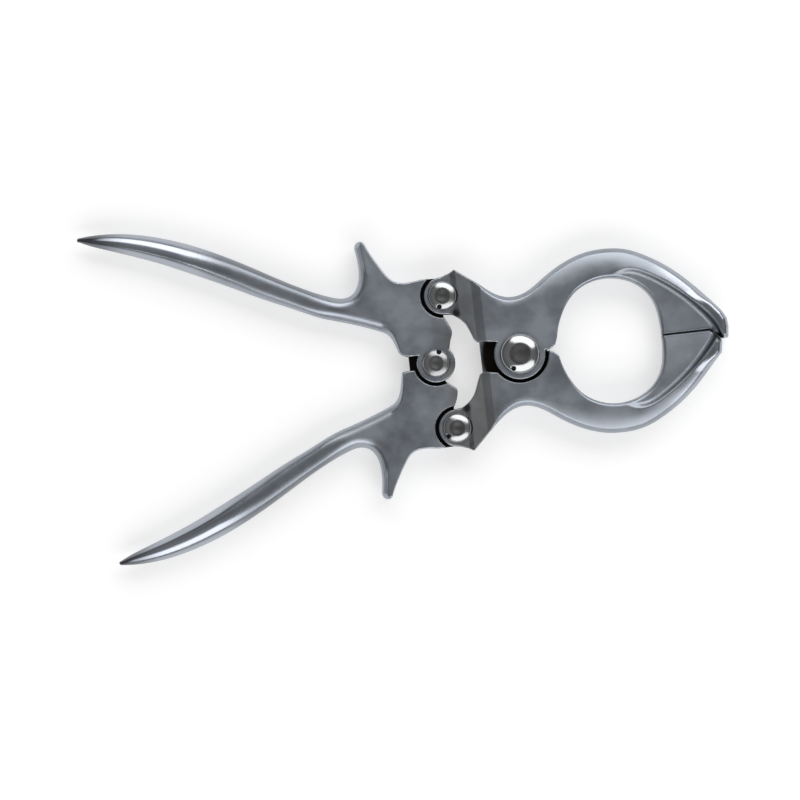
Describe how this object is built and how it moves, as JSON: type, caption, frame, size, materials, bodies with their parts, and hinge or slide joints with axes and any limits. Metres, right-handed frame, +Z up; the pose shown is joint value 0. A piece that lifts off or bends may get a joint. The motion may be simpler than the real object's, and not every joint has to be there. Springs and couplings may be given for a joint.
{
  "type": "castration clamp",
  "caption": "Hand clamp with ring jaws ending in thin crushing edges, closed through a compound linkage by two spread handles with finger spurs.",
  "frame": {"origin": "middle of the closed tool's length and width, on the plane it lies on", "axes": "+X along the tool from the handles to the nose, +Y towards the upper jaw, +Z up through the pivots"},
  "size_m": [0.2318, 0.1206, 0.0149],
  "materials": {
    "forged_plated": "drop-forged steel, polished on the rims and grips and satin on the flats, bright plated",
    "pin_steel": "turned steel, polished domed heads",
    "screw_steel": "turned, slotted, satin",
    "lock_steel": "dark drawn wire"
  },
  "bodies": {
    "lower_jaw": {"lower_jaw": "forged_plated", "lower_link_pin": "pin_steel", "lower_link_screw": "screw_steel", "lower_link_lock": "lock_steel"},
    "upper_jaw": {"upper_jaw": "forged_plated", "main_pin": "pin_steel", "main_screw": "screw_steel", "main_lock": "lock_steel", "upper_link_pin": "pin_steel", "upper_link_screw": "screw_steel", "upper_link_lock": "lock_steel"},
    "upper_handle": {"upper_handle": "forged_plated", "handle_pin": "pin_steel", "handle_screw": "screw_steel", "handle_lock": "lock_steel"},
    "lower_handle": {"lower_handle": "forged_plated"}
  },
  "joints": [
    {"name": "main_pivot", "type": "hinge", "parent": "lower_jaw", "child": "upper_jaw", "pos_m": [0.0395, 0, 0.006], "axis": [0, 0, 1], "range_deg": [0, 24]},
    {"name": "upper_link", "type": "hinge", "parent": "upper_jaw", "child": "upper_handle", "pos_m": [0.014, 0.0241, 0.006], "axis": [0, 0, 1], "range_deg": [-45, 0]},
    {"name": "lower_link", "type": "hinge", "parent": "lower_jaw", "child": "lower_handle", "pos_m": [0.014, -0.0241, 0.006], "axis": [0, 0, 1], "range_deg": [0, 45]}
  ],
  "couplings": [
    {"joint": "upper_link", "follows": "main_pivot", "ratio": -1.8365},
    {"joint": "lower_link", "follows": "main_pivot", "ratio": 1.8365}
  ]
}
